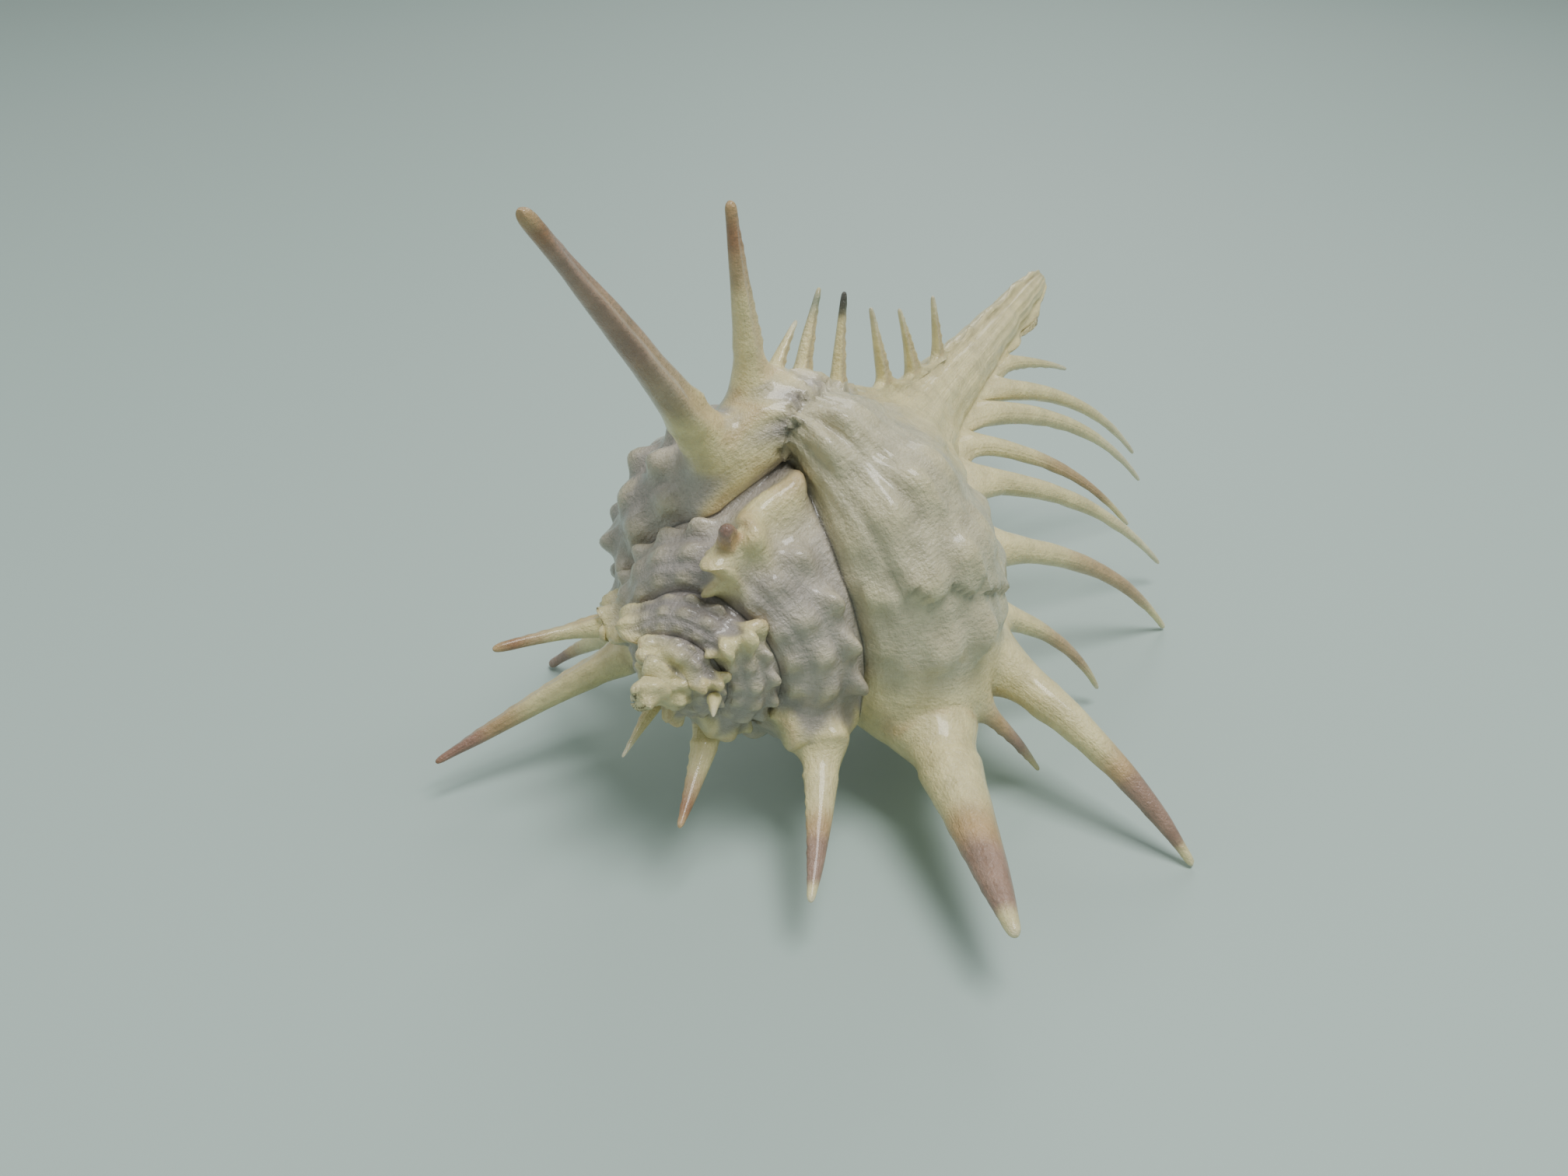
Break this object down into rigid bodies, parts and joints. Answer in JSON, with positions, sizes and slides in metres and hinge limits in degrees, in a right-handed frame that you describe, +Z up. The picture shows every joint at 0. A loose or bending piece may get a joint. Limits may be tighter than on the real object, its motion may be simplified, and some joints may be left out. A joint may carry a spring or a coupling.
{
  "type": "murex shell",
  "caption": "Long-spined murex shell with varices, straight siphonal canal and a horny operculum, lying aperture down.",
  "frame": {"origin": "centre of the bounding box in X and Y, at the level of the spine tips the shell lies on", "axes": "+Y along the coiling axis from the apex to the end of the siphonal canal, +X to the lip side, +Z up out of the dorsal side"},
  "size_m": [0.0862, 0.1172, 0.0761],
  "materials": {
    "shell": "satin",
    "operculum": "satin"
  },
  "bodies": {
    "root": {"shell": "shell", "operculum": "operculum"}
  },
  "joints": []
}
